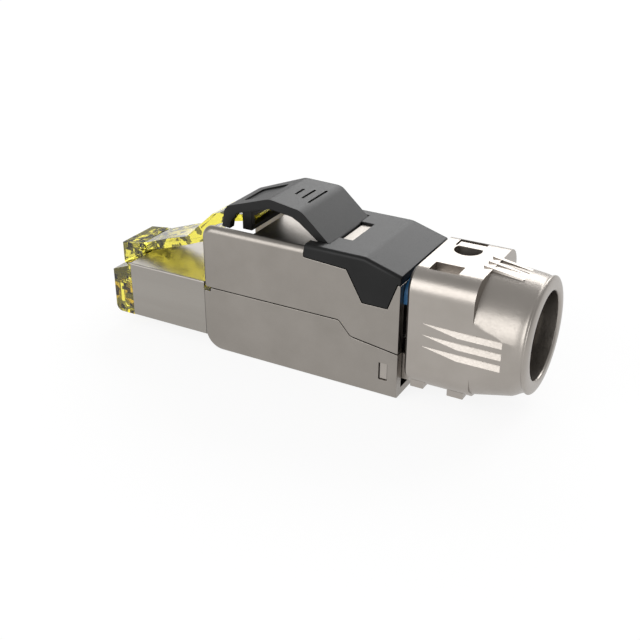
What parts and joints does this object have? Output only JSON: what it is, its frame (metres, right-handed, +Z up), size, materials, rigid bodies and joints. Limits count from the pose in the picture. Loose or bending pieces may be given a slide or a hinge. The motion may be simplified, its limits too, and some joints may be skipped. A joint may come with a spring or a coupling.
{
  "type": "field termination ethernet plug",
  "caption": "Metal-housed network plug with a clear yellow modular nose, a black squeeze lever over its latch, and a round rear cap where the cable enters.",
  "frame": {"origin": "middle of the housing's underside, on the surface the plug rests on", "axes": "+X towards the cable entry, +Y across the plug, +Z up towards the release lever"},
  "size_m": [0.0512, 0.0124, 0.0185],
  "materials": {
    "cast_housing": "satin nickel plate on fine-blasted die-cast zinc",
    "cast_cap": "satin nickel plate on die-cast zinc",
    "shield_sheet": "satin nickel plated sheet",
    "black_plastic": "fine matte, moulded",
    "clear_yellow": "polished transparent polycarbonate tinted yellow",
    "gold_plate": "gold plated",
    "board": "green solder mask",
    "black_block": "matte, moulded",
    "tinned_bronze": "bright tin plate",
    "blue_plastic": "semi-gloss, moulded",
    "separator_metal": "plain",
    "spring_steel": "plain"
  },
  "bodies": {
    "housing": {"lower_shell": "cast_housing", "upper_shell": "cast_housing", "saddle_cover": "black_plastic", "plug_nose": "clear_yellow", "nose_shield": "shield_sheet", "contact_1": "gold_plate", "contact_2": "gold_plate", "contact_3": "gold_plate", "contact_4": "gold_plate", "contact_5": "gold_plate", "contact_6": "gold_plate", "contact_7": "gold_plate", "contact_8": "gold_plate", "circuit_board": "board", "idc_block": "black_block", "idc_terminal_1": "tinned_bronze", "idc_terminal_2": "tinned_bronze", "idc_terminal_3": "tinned_bronze", "idc_terminal_4": "tinned_bronze", "idc_terminal_5": "tinned_bronze", "idc_terminal_6": "tinned_bronze", "idc_terminal_7": "tinned_bronze", "idc_terminal_8": "tinned_bronze", "wire_manager": "blue_plastic", "pair_separator": "separator_metal", "rear_cap": "cast_cap", "cable_clamp": "spring_steel"},
    "lever": {"release_lever": "black_plastic"},
    "tab": {"latch_tab": "clear_yellow"}
  },
  "joints": [
    {"name": "lever_hinge", "type": "hinge", "parent": "housing", "child": "lever", "pos_m": [0.00285, 0, 0.01485], "axis": [0, -1, 0], "range_deg": [0, 8], "stiffness_Nm_per_rad": 0.02},
    {"name": "tab_hinge", "type": "hinge", "parent": "housing", "child": "tab", "pos_m": [-0.0229, 0, 0.00885], "axis": [0, 1, 0], "range_deg": [0, 5.6], "stiffness_Nm_per_rad": 0.002}
  ],
  "couplings": [
    {"joint": "tab_hinge", "follows": "lever_hinge", "ratio": 0.686}
  ]
}
